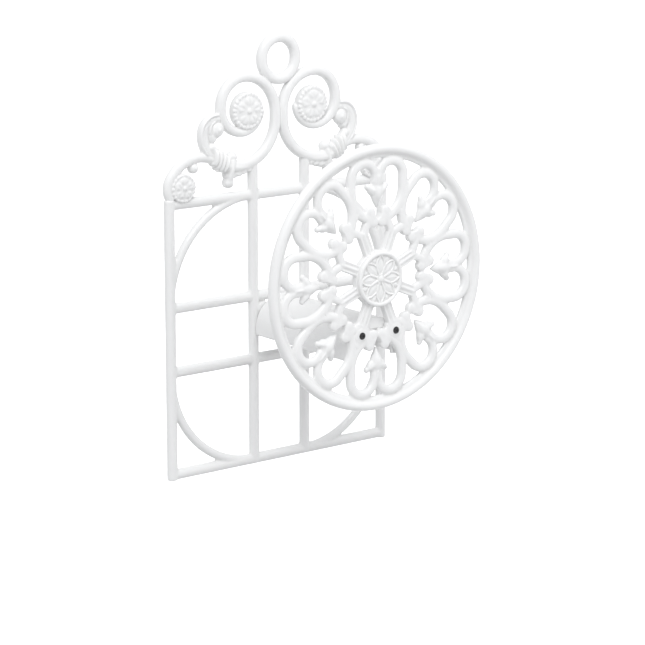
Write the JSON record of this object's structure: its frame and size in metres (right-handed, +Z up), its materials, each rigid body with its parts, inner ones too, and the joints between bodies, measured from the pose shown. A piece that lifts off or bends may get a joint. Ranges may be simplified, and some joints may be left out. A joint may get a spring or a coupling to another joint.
{
  "type": "wall-mounted hose holder",
  "caption": "Ornamental wall holder: a scrolled bar frame with a hanging eye, an arched saddle standing out from it and a pierced round disc in front.",
  "frame": {"origin": "axis of the hanging eye's hole, on the wall plane that the frame's back lies against", "axes": "+Z up, the front faces -Y, +X to the right as seen from the front; the wall is the plane Y = 0"},
  "size_m": [0.2822, 0.1705, 0.4409],
  "materials": {
    "white_coat": "glossy white coat over cast iron",
    "black_screws": "black coated steel"
  },
  "bodies": {
    "root": {"hanging_eye": "white_coat", "left_side_bar": "white_coat", "right_side_bar": "white_coat", "top_rail": "white_coat", "upper_mid_rail": "white_coat", "lower_mid_rail": "white_coat", "bottom_rail": "white_coat", "left_inner_bar": "white_coat", "right_inner_bar": "white_coat", "top_left_corner_arc": "white_coat", "top_right_corner_arc": "white_coat", "bottom_left_corner_arc": "white_coat", "bottom_right_corner_arc": "white_coat", "left_volute": "white_coat", "right_volute": "white_coat", "left_rosette": "white_coat", "right_rosette": "white_coat", "left_collar": "white_coat", "right_collar": "white_coat", "left_leaf_curl": "white_coat", "right_leaf_curl": "white_coat", "left_leaf_spray": "white_coat", "right_leaf_spray": "white_coat", "left_shoulder_scroll": "white_coat", "right_shoulder_scroll": "white_coat", "left_shoulder_rosette": "white_coat", "right_shoulder_rosette": "white_coat", "saddle": "white_coat", "frame_screws": "black_screws", "disc_rim": "white_coat", "disc_spider": "white_coat", "disc_medallion": "white_coat", "heart_scroll_1": "white_coat", "heart_scroll_2": "white_coat", "heart_scroll_3": "white_coat", "heart_scroll_4": "white_coat", "heart_scroll_5": "white_coat", "heart_scroll_6": "white_coat", "heart_scroll_7": "white_coat", "heart_scroll_8": "white_coat", "disc_screws": "black_screws"}
  },
  "joints": []
}
